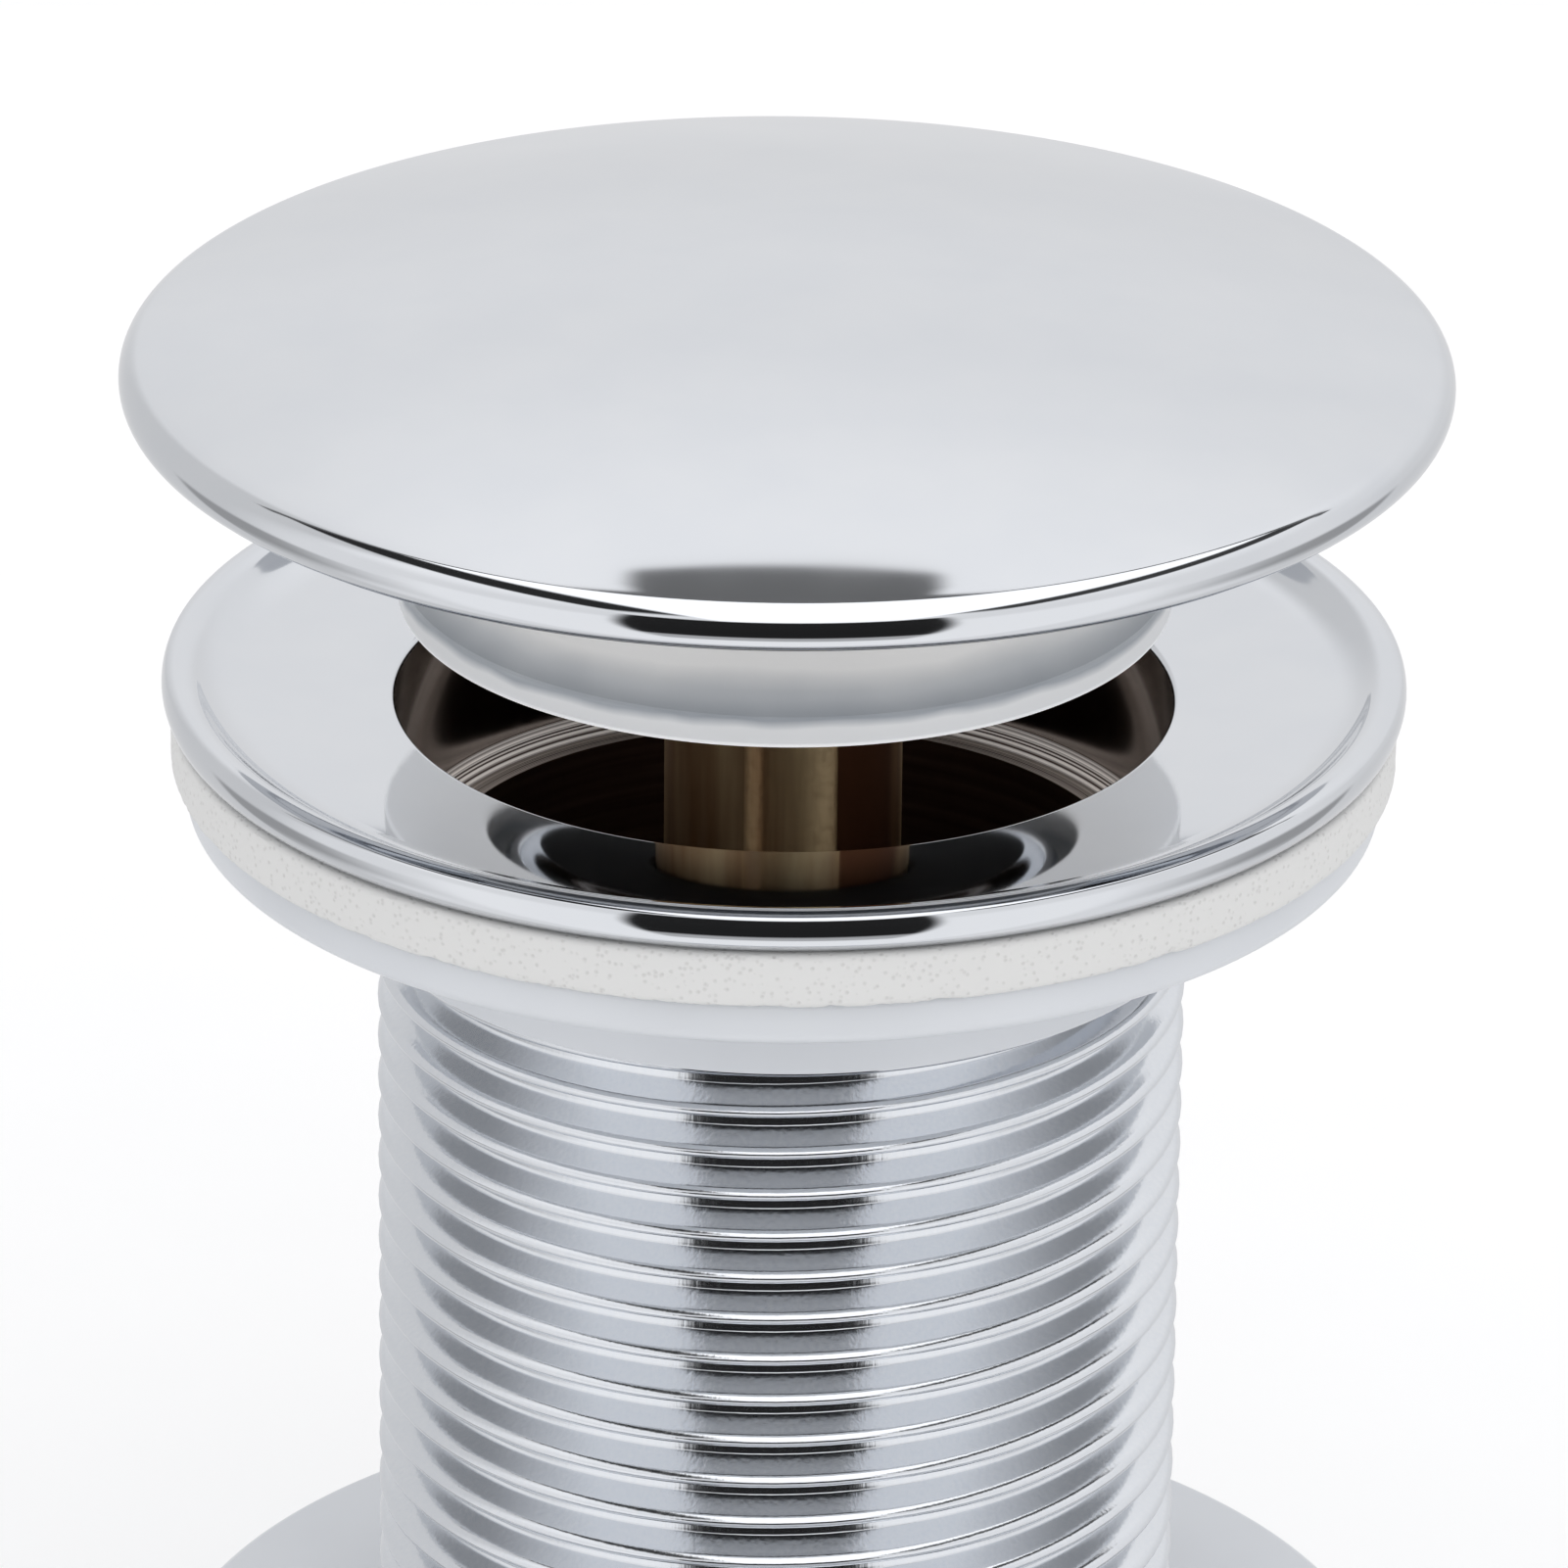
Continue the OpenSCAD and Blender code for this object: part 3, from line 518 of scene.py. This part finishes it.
# Barrel: a turned brass tube, closed at the top, whose threaded stub screws into the cap's boss.
# It slides on the stud, with the spring inside, and the bush and its snap ring at the open end.
BARREL_R = 6.1
BARREL_BORE_R = 5
BUSH_R = 5.35
GROOVE_R = 5.65
STUB_R = 3.95
BARREL_BOTTOM = 55.38
BARREL_TOP = 90.98
STUB_TOP = 100.83
barrel_mesh = bmesh.new()
turned(barrel_mesh, (
    [(0, 88.48), (BARREL_BORE_R, 88.48), (BARREL_BORE_R, 61.98), (BUSH_R, 61.98)]
    + [(BUSH_R, 56.78), (GROOVE_R, 56.78), (GROOVE_R, 56.08), (BUSH_R, 56.08), (BUSH_R, BARREL_BOTTOM)]
    + [(BARREL_R - 0.3, BARREL_BOTTOM), (BARREL_R, BARREL_BOTTOM + 0.3)]
    + [(BARREL_R, BARREL_TOP - 0.4), (BARREL_R - 0.4, BARREL_TOP), (STUB_R, BARREL_TOP)]
    + [(STUB_R, STUB_TOP - 0.4), (STUB_R - 0.4, STUB_TOP), (0, STUB_TOP)]
), steps=96, closed=False)

# Turned brass, left bare: red brown with tarnish in streaks along it. Round its front it carries painted highlights,
# two strips of gold, and a band of painted shade beyond them on the right. The painted strips are scratched matt, so
# they scatter light where the rest only mirrors the dark throat.
brass, tree, shader = material("turned_brass")
place = add(tree, "ShaderNodeTexCoord")
along = add(tree, "ShaderNodeMapping", {"Scale": (1 / (2.2 * MM), 1 / (2.2 * MM), 1 / (30 * MM))},
            {"Vector": place.outputs["Object"]})
tarnish = add(tree, "ShaderNodeTexNoise", {"Scale": 1.0, "Detail": 4.0}, {"Vector": along.outputs["Vector"]})
bands = add(tree, "ShaderNodeMapRange", {"From Min": 0.35, "From Max": 0.65}, {"Value": tarnish.outputs["Fac"]})
gold = add(tree, "ShaderNodeMix", {"A": srgb("#A88560"), "B": srgb("#EBD3A6")},
           {"Factor": bands.outputs["Result"]}, data_type="RGBA")
# Painted light and shade by turn from the front: a bright strip each side of it, and a dark band beyond the right one
split = add(tree, "ShaderNodeSeparateXYZ", (), {"Vector": place.outputs["Object"]})
front = add(tree, "ShaderNodeMath", {1: -1.0}, {0: split.outputs["Y"]}, operation="MULTIPLY")
turn = add(tree, "ShaderNodeMath", (), {0: split.outputs["X"], 1: front.outputs["Value"]}, operation="ARCTAN2")
round_post = add(tree, "ShaderNodeMapRange", {"From Min": -math.pi / 2, "From Max": math.pi / 2},
                 {"Value": turn.outputs["Value"]})
painted_light_by_turn = add(tree, "ShaderNodeValToRGB", (), {"Fac": round_post.outputs["Result"]})
stops = painted_light_by_turn.color_ramp.elements
stops[0].position, stops[0].color = 0.0, srgb("#4C4C4C")
stops[1].position, stops[1].color = 1.0, srgb("#4C4C4C")
for at, colour in ((0.395, "#4C4C4C"), (0.415, "#FFFFFF"), (0.435, "#FFFFFF"), (0.45, "#606060"), (0.55, "#606060"),
                   (0.612, "#E0E0E0"), (0.638, "#E0E0E0"), (0.65, "#000000"), (0.84, "#000000"), (0.88, "#4C4C4C")):
    stop = stops.new(at)
    stop.color = srgb(colour)
scratches = add(tree, "ShaderNodeTexNoise", {"Scale": 1 / (0.35 * MM), "Detail": 3.0},
                {"Vector": place.outputs["Object"]})
patchy = add(tree, "ShaderNodeMapRange", {"From Min": 0.3, "From Max": 0.6, "To Min": 0.5, "To Max": 1.0},
             {"Value": scratches.outputs["Fac"]})
painted_strips_scratched = add(tree, "ShaderNodeMath", (), {0: painted_light_by_turn.outputs["Color"], 1: patchy.outputs["Result"]}, operation="MULTIPLY")
metal = add(tree, "ShaderNodeMapRange", {"From Min": 0.1, "From Max": 0.9, "To Min": 1.0, "To Max": 0.1},
            {"Value": painted_strips_scratched.outputs["Value"]})
painted_strip_share = add(tree, "ShaderNodeMapRange", {"From Max": 0.12}, {"Value": painted_light_by_turn.outputs["Color"]})
tint = add(tree, "ShaderNodeMix", {"A": srgb("#6A4632")},
           {"Factor": painted_strip_share.outputs["Result"], "B": gold.outputs["Result"]}, data_type="RGBA")
gloss = add(tree, "ShaderNodeMapRange", {"To Min": 0.4, "To Max": 0.55}, {"Value": tarnish.outputs["Fac"]})
tree.links.new(tint.outputs["Result"], shader.inputs["Base Color"])
tree.links.new(metal.outputs["Result"], shader.inputs["Metallic"])
tree.links.new(gloss.outputs["Result"], shader.inputs["Roughness"])
piece("brass_barrel", barrel_mesh, "stopper", "barrel", "brass", brass)

# Spring: drawn stainless wire, coiled with one closed turn at each end, between the stud's head and the barrel.
# It pushes the barrel and the cap up, and shortens by their stroke when they are pressed.
WIRE_R = 0.45
COIL_R = 3.9
COIL_START = 67.48
COIL_STEPS = 32
CLOSED_PITCH = 0.945
OPEN_PITCH = 3.722
spring_mesh = bmesh.new()
bmesh.ops.create_circle(spring_mesh, segments=10, radius=WIRE_R * MM, cap_ends=True, matrix=(
    Matrix.Translation((COIL_R * MM, 0, COIL_START * MM)) @ Matrix.Rotation(math.pi / 2, 4, "X")))
wire_end = spring_mesh.faces[:]
for turns, pitch in ((1, CLOSED_PITCH), (5, OPEN_PITCH), (1, CLOSED_PITCH)):
    swept = bmesh.ops.spin(spring_mesh, geom=wire_end, cent=(0, 0, 0), axis=(0, 0, 1),
                           dvec=(0, 0, pitch * MM / COIL_STEPS), angle=math.tau * turns, steps=COIL_STEPS * turns)
    wire_end = [g for g in swept["geom_last"] if isinstance(g, bmesh.types.BMFace)]

# Stainless wire: grey, drawn smooth, with fine lines too thin to show apart from a soft gloss.
steel, tree, shader = material("drawn_stainless", Metallic=1.0)
place = add(tree, "ShaderNodeTexCoord")
lines = add(tree, "ShaderNodeTexNoise", {"Scale": 1 / (1.5 * MM), "Detail": 2.0}, {"Vector": place.outputs["Object"]})
tint = add(tree, "ShaderNodeMix", {"A": srgb("#B4B5B7"), "B": srgb("#CACBCC")},
           {"Factor": lines.outputs["Fac"]}, data_type="RGBA")
gloss = add(tree, "ShaderNodeMapRange", {"To Min": 0.2, "To Max": 0.35}, {"Value": lines.outputs["Fac"]})
tree.links.new(tint.outputs["Result"], shader.inputs["Base Color"])
tree.links.new(gloss.outputs["Result"], shader.inputs["Roughness"])
spring = piece("coil_spring", spring_mesh, "waste_body", "spring", "steel", steel)
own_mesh(spring)

# Small pieces of the cartridge, kept as the solids have them: brass stud and lock nut, steel pin and snap ring,
# and the index ring and the guide bush, moulded in white acetal.
acetal, tree, shader = material("white_acetal", Roughness=0.4, IOR=1.48)
place = add(tree, "ShaderNodeTexCoord")
mottle = add(tree, "ShaderNodeTexNoise", {"Scale": 1 / (2 * MM), "Detail": 2.0}, {"Vector": place.outputs["Object"]})
tint = add(tree, "ShaderNodeMix", {"A": srgb("#E6E5DE"), "B": srgb("#F0EFEA")},
           {"Factor": mottle.outputs["Fac"]}, data_type="RGBA")
tree.links.new(tint.outputs["Result"], shader.inputs["Base Color"])
for name, made in (("centre_stud", brass), ("stud_locknut", brass), ("index_pin", steel), ("snap_ring", steel),
                   ("index_ring", acetal), ("barrel_bush", acetal)):
    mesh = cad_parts[name].data
    mesh.materials.clear()
    mesh.materials.append(made)

# Floor: a plain white table under the part, which keeps its shadow.
floor_mesh = bmesh.new()
bmesh.ops.create_grid(floor_mesh, x_segments=1, y_segments=1, size=6)
floor_data = bpy.data.meshes.new("floor")
floor_mesh.to_mesh(floor_data)
floor_mesh.free()
floor = bpy.data.objects.new("floor", floor_data)
bpy.context.scene.collection.objects.link(floor)
table, tree, shader = material("white_table", Roughness=0.9)
place = add(tree, "ShaderNodeTexCoord")
grain = add(tree, "ShaderNodeTexNoise", {"Scale": 40.0}, {"Vector": place.outputs["Object"]})
tint = add(tree, "ShaderNodeMix", {"A": srgb("#FBFBFB"), "B": srgb("#FEFEFE")},
           {"Factor": grain.outputs["Fac"]}, data_type="RGBA")
tree.links.new(tint.outputs["Result"], shader.inputs["Base Color"])
floor_data.materials.append(table)
floor.visible_glossy = False

# Studio: a white tent, seen in the chrome, with a dark slot in front for the camera, a bright softbox over it,
# and dark gaps beside and behind the softbox. Other light from it is plain and even.
TENT_GREY = 0.98
scene = bpy.context.scene
scene.view_settings.view_transform = "Standard"
world = bpy.data.worlds.new("white_tent")
world.use_nodes = True
scene.world = world
tree = world.node_tree
sky = tree.nodes["Background"]
way = add(tree, "ShaderNodeTexCoord")
xyz = add(tree, "ShaderNodeSeparateXYZ", (), {"Vector": way.outputs["Generated"]})
front = add(tree, "ShaderNodeMath", {1: -1.0}, {0: xyz.outputs["Y"]}, operation="MULTIPLY")
turn = add(tree, "ShaderNodeMath", (), {0: xyz.outputs["X"], 1: front.outputs["Value"]}, operation="ARCTAN2")
lift = add(tree, "ShaderNodeMath", {1: 0.05}, {0: xyz.outputs["Z"]}, operation="MAXIMUM")

# A direction's turn from the front and rise, in radians, and where it meets a ceiling of height 1
side = add(tree, "ShaderNodeMath", (), {0: turn.outputs["Value"]}, operation="ABSOLUTE").outputs["Value"]
rise = add(tree, "ShaderNodeMath", (), {0: xyz.outputs["Z"]}, operation="ARCSINE").outputs["Value"]
across = add(tree, "ShaderNodeMath", (), {0: xyz.outputs["X"], 1: lift.outputs["Value"]},
             operation="DIVIDE").outputs["Value"]
behind = add(tree, "ShaderNodeMath", (), {0: xyz.outputs["Y"], 1: lift.outputs["Value"]},
             operation="DIVIDE").outputs["Value"]
centred = add(tree, "ShaderNodeMath", (), {0: across}, operation="ABSOLUTE").outputs["Value"]
above = (xyz.outputs["Z"], 0.1, 0.2)

# Each panel: its grey, and the soft edges that bound it, as a value with its outer and inner end.
# In order: back wall, ceiling, front wall, foot of the back wall, left back, softbox, strip under the slot,
# camera slot, gaps left and right of the softbox, seam behind it, its boom, and the low side walls.
panels = (
    (0.86, ((side, 1.70, 2.20), (rise, 0.42, 0.0))),
    (1.16, ((rise, 0.42, 0.90),)),
    (1.12, ((side, 1.25, 1.00), (rise, 0.30, 0.10))),
    (0.80, ((side, 2.05, 2.25), (rise, 0.0, -0.25))),
    (0.77, ((turn.outputs["Value"], -1.5, -1.9), (turn.outputs["Value"], -2.95, -2.6))),
    (1.55, (above, (across, -0.38, -0.33), (across, 0.68, 0.62), (behind, -2.0, -1.8), (behind, 0.72, 0.68))),
    (0.55, ((side, 0.52, 0.45), (rise, -0.72, -0.80), (rise, -1.05, -0.95))),
    (0.02, ((side, 0.52, 0.45), (rise, 0.52, 0.45), (rise, -0.84, -0.66))),
    (0.03, (above, (across, -0.74, -0.66), (across, -0.33, -0.39), (behind, -1.3, -0.9), (behind, 0.85, 0.70))),
    (0.06, (above, (across, 0.62, 0.69), (across, 1.0, 0.92), (behind, -1.3, -0.9), (behind, 0.85, 0.70))),
    (0.16, (above, (behind, 0.68, 0.70), (behind, 0.79, 0.77), (across, -0.9, -0.8), (across, 1.2, 1.1))),
    (0.18, (above, (behind, 0.70, 0.72), (behind, 0.885, 0.87), (centred, 0.115, 0.095))),
    (0.42, ((side, 1.05, 1.80), (side, 2.18, 2.08), (rise, -0.10, -0.25), (rise, -0.85, -0.50))),
)
tent = None
for grey, edges in panels:
    mask = None
    for value, outer, inner in edges:
        edge = add(tree, "ShaderNodeMapRange", {"From Min": outer, "From Max": inner}, {"Value": value},
                   interpolation_type="SMOOTHSTEP").outputs["Result"]
        mask = edge if mask is None else add(
            tree, "ShaderNodeMath", (), {0: mask, 1: edge}, operation="MULTIPLY").outputs["Value"]
    links = {"Factor": mask} if tent is None else {"Factor": mask, "A": tent}
    tent = add(tree, "ShaderNodeMix", {"A": TENT_GREY, "B": grey}, links, data_type="FLOAT").outputs["Result"]
rays = add(tree, "ShaderNodeLightPath")
mirrored = add(tree, "ShaderNodeMath", (), {0: rays.outputs["Is Glossy Ray"], 1: rays.outputs["Is Transmission Ray"]},
               operation="MAXIMUM")
strength = add(tree, "ShaderNodeMix", {"A": 1.0}, {"Factor": mirrored.outputs["Value"], "B": tent}, data_type="FLOAT")
sky.inputs["Color"].default_value = srgb("#FEFEFF")
tree.links.new(strength.outputs["Result"], sky.inputs["Strength"])

# Softbox lamp over the camera, which rounds the matt pieces a little
lamp = bpy.data.objects.new("softbox", bpy.data.lights.new("softbox", "AREA"))
lamp.data.energy = 1.5
lamp.data.size = 0.8
lamp.location = (0.25, -0.7, 0.9)
lamp.rotation_euler = (Vector((0, 0, 0.07)) - lamp.location).to_track_quat("-Z", "Y").to_euler()
lamp.visible_glossy = False
scene.collection.objects.link(lamp)

# Camera: a long lens, 23.5 degrees above the rim, turned by half a degree as the photograph is.
FOCUS = Vector((0, 0, 81 * MM))
DISTANCE = 650 * MM
RISE = math.radians(23.45)
ROLL = math.radians(0.589)
SENSOR = 36
IMAGE_PX = 1601
FOCAL_PX = 12980
BELOW_PX = 103.1
RIGHT_PX = 1.0
camera = bpy.data.objects.new("camera", bpy.data.cameras.new("camera"))
camera.data.sensor_width = SENSOR
camera.data.lens = SENSOR * FOCAL_PX / IMAGE_PX
back = Vector((0, -math.cos(RISE), math.sin(RISE)))
right = Vector((1, 0, 0))
up = back.cross(right)
camera.location = FOCUS + back * DISTANCE
aim = FOCUS - up * (BELOW_PX / FOCAL_PX * DISTANCE) + right * (RIGHT_PX / FOCAL_PX * DISTANCE)
back = (camera.location - aim).normalized()
right = Vector((0, 0, 1)).cross(back).normalized()
up = back.cross(right)
right, up = right * math.cos(ROLL) + up * math.sin(ROLL), up * math.cos(ROLL) - right * math.sin(ROLL)
camera.rotation_euler = Matrix((right, up, back)).transposed().to_euler()
camera.data.clip_start = 0.05
scene.collection.objects.link(camera)
scene.camera = camera
